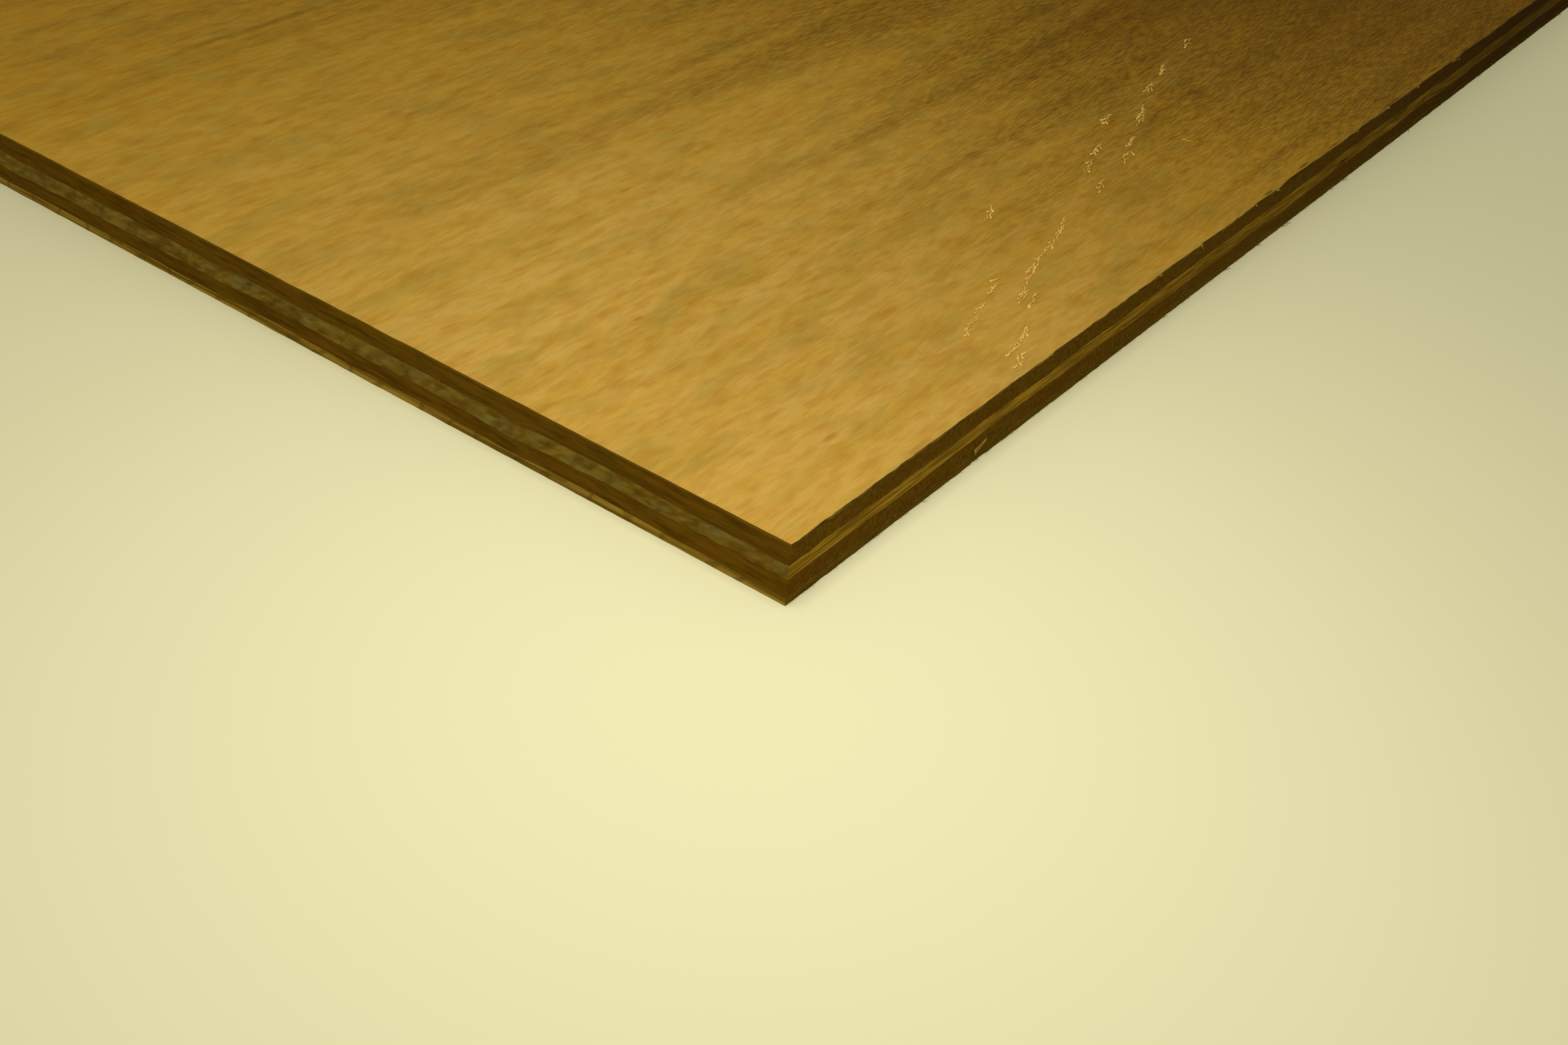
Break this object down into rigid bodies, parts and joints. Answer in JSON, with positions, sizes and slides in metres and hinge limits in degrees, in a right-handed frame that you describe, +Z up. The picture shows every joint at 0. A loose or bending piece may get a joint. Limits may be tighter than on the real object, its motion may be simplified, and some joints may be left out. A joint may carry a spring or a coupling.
{
  "type": "plywood sheet",
  "caption": "Full sheet of thin-faced hardwood plywood, crossbanded plies glued face to face and sawn square, for sheathing, lining and joinery.",
  "frame": {"origin": "middle of the underside, at the centre of the sheet's length and width", "axes": "+X along the length and the grain of the face, +Y across the width, +Z up out of the face veneer; the corner at -X and -Y is the one the picture shows"},
  "size_m": [2.44, 1.22, 0.012],
  "materials": {
    "face_veneer": "matte",
    "crossband": "matte",
    "core_ply": "matte",
    "back_veneer": "matte"
  },
  "bodies": {
    "root": {"face_veneer": "face_veneer", "upper_crossband": "crossband", "core_ply": "core_ply", "lower_crossband": "crossband", "back_veneer": "back_veneer"}
  },
  "joints": []
}
